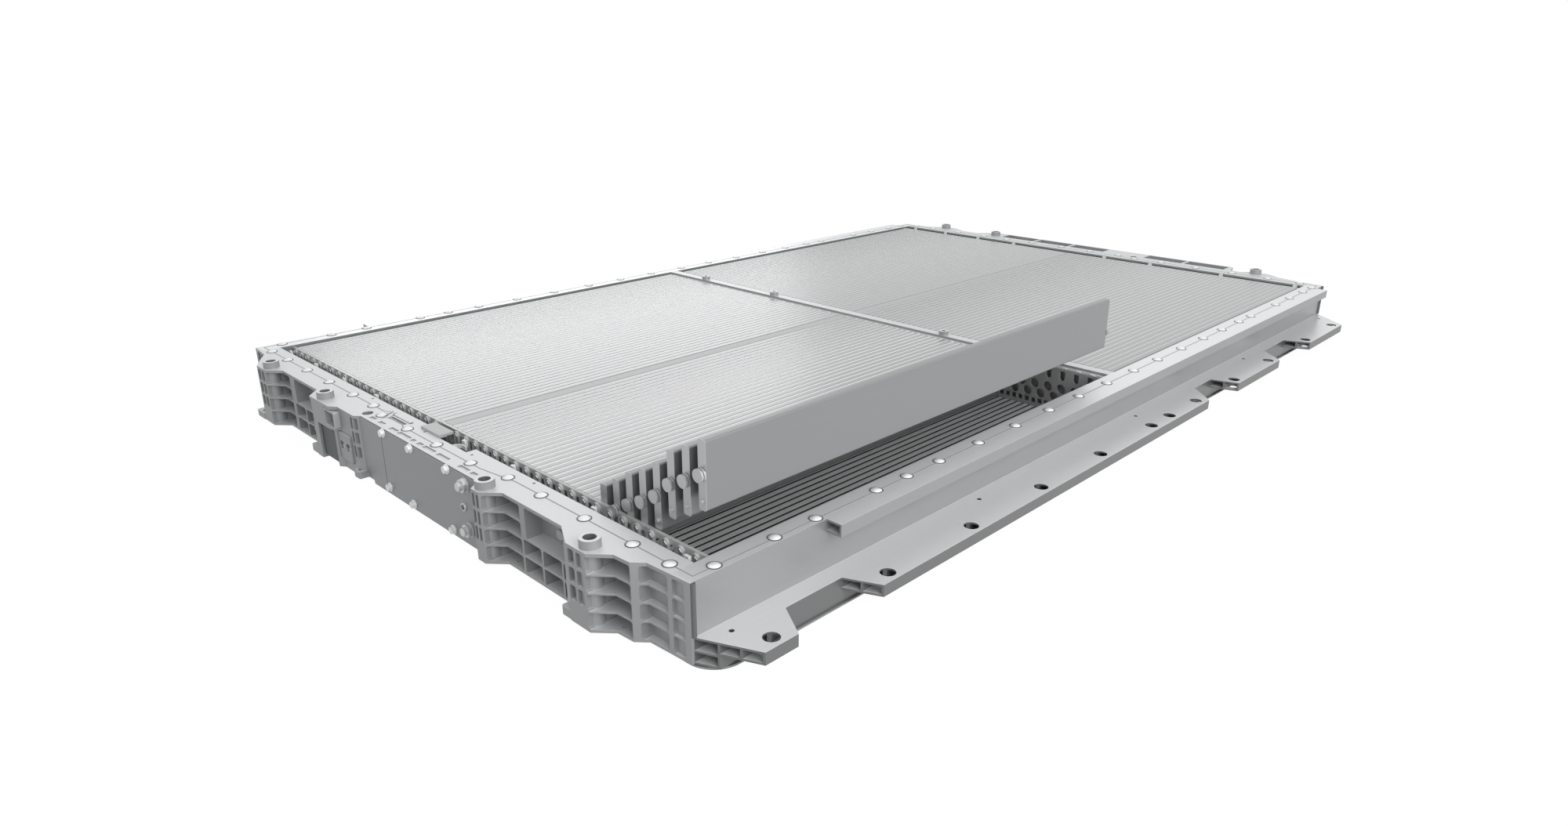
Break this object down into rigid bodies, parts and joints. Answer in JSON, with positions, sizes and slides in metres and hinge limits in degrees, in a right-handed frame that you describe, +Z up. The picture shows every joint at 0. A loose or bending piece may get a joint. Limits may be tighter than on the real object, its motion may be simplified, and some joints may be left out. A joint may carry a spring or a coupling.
{
  "type": "vehicle battery pack",
  "caption": "Flat vehicle battery pack with its lid off: ribbed cast end frames, flanged side rails and rows of long flat cells, some lifted out of an open bay.",
  "frame": {"origin": "centre of the underside of the bottom plate, on the plane that the pack rests on", "axes": "X across the pack with the open bay at +X, Y along the rails with the front frame and its cover plates at -Y, Z up"},
  "size_m": [1.4812, 2.202, 0.2554],
  "materials": {
    "extruded_aluminium": "satin extruded",
    "cast_aluminium": "fine cast, matt",
    "cell_can": "satin drawn can",
    "busbar_aluminium": "satin",
    "clear_plastic": "clear moulded",
    "dark_plastic": "moulded matt",
    "white_plastic": "moulded",
    "light_plastic": "moulded matt",
    "grey_pad": "soft pad",
    "plate_grey": "coated sheet",
    "black_rubber": "matt",
    "screw_steel": "bright zinc",
    "sleeve_steel": "turned",
    "cover_grey": "smooth coated",
    "fuse_ceramic": "smooth",
    "board_green": "lacquered board"
  },
  "bodies": {
    "root": {"bottom_plate": "plate_grey", "bottom_seal": "black_rubber", "floor_panel": "extruded_aluminium", "floor_strips_front": "grey_pad", "floor_strips_rear": "grey_pad", "rail_left": "extruded_aluminium", "rail_right": "extruded_aluminium", "front_frame": "cast_aluminium", "rear_frame": "cast_aluminium", "middle_beam": "extruded_aluminium", "spacer_strip_front": "light_plastic", "spacer_strip_rear": "light_plastic", "cells_front_left": "cell_can", "cells_front_right": "cell_can", "cells_rear_left": "cell_can", "cells_rear_right": "cell_can", "lifted_cell_1": "cell_can", "lifted_cell_2": "cell_can", "lifted_cell_3": "cell_can", "lifted_cell_4": "cell_can", "lifted_cell_5": "cell_can", "lifted_cell_6": "cell_can", "lifted_cell_7": "cell_can", "lifted_cell_8": "cell_can", "isolator_front": "clear_plastic", "isolator_mid_front": "dark_plastic", "isolator_mid_rear": "dark_plastic", "isolator_rear": "clear_plastic", "busbars_front": "busbar_aluminium", "busbars_mid_front": "busbar_aluminium", "busbars_mid_rear": "busbar_aluminium", "busbars_rear": "busbar_aluminium", "isolator_clips_front": "white_plastic", "isolator_clips_rear": "white_plastic", "connector_cap": "light_plastic", "cover_plate_left": "cover_grey", "cover_plate_right": "cover_grey", "cover_screws": "screw_steel", "port_stubs": "sleeve_steel", "power_connector": "dark_plastic", "terminal_plate": "cast_aluminium", "signal_connector": "light_plastic", "vent_valve": "cast_aluminium", "mount_sleeves_front": "sleeve_steel", "mount_sleeves_rear": "sleeve_steel", "rim_screws_front": "screw_steel", "rim_screws_rear": "screw_steel", "rim_screws_left": "screw_steel", "rim_screws_right": "screw_steel", "contactors": "dark_plastic", "main_fuse": "fuse_ceramic", "current_sensor": "dark_plastic", "control_board": "board_green"}
  },
  "joints": []
}
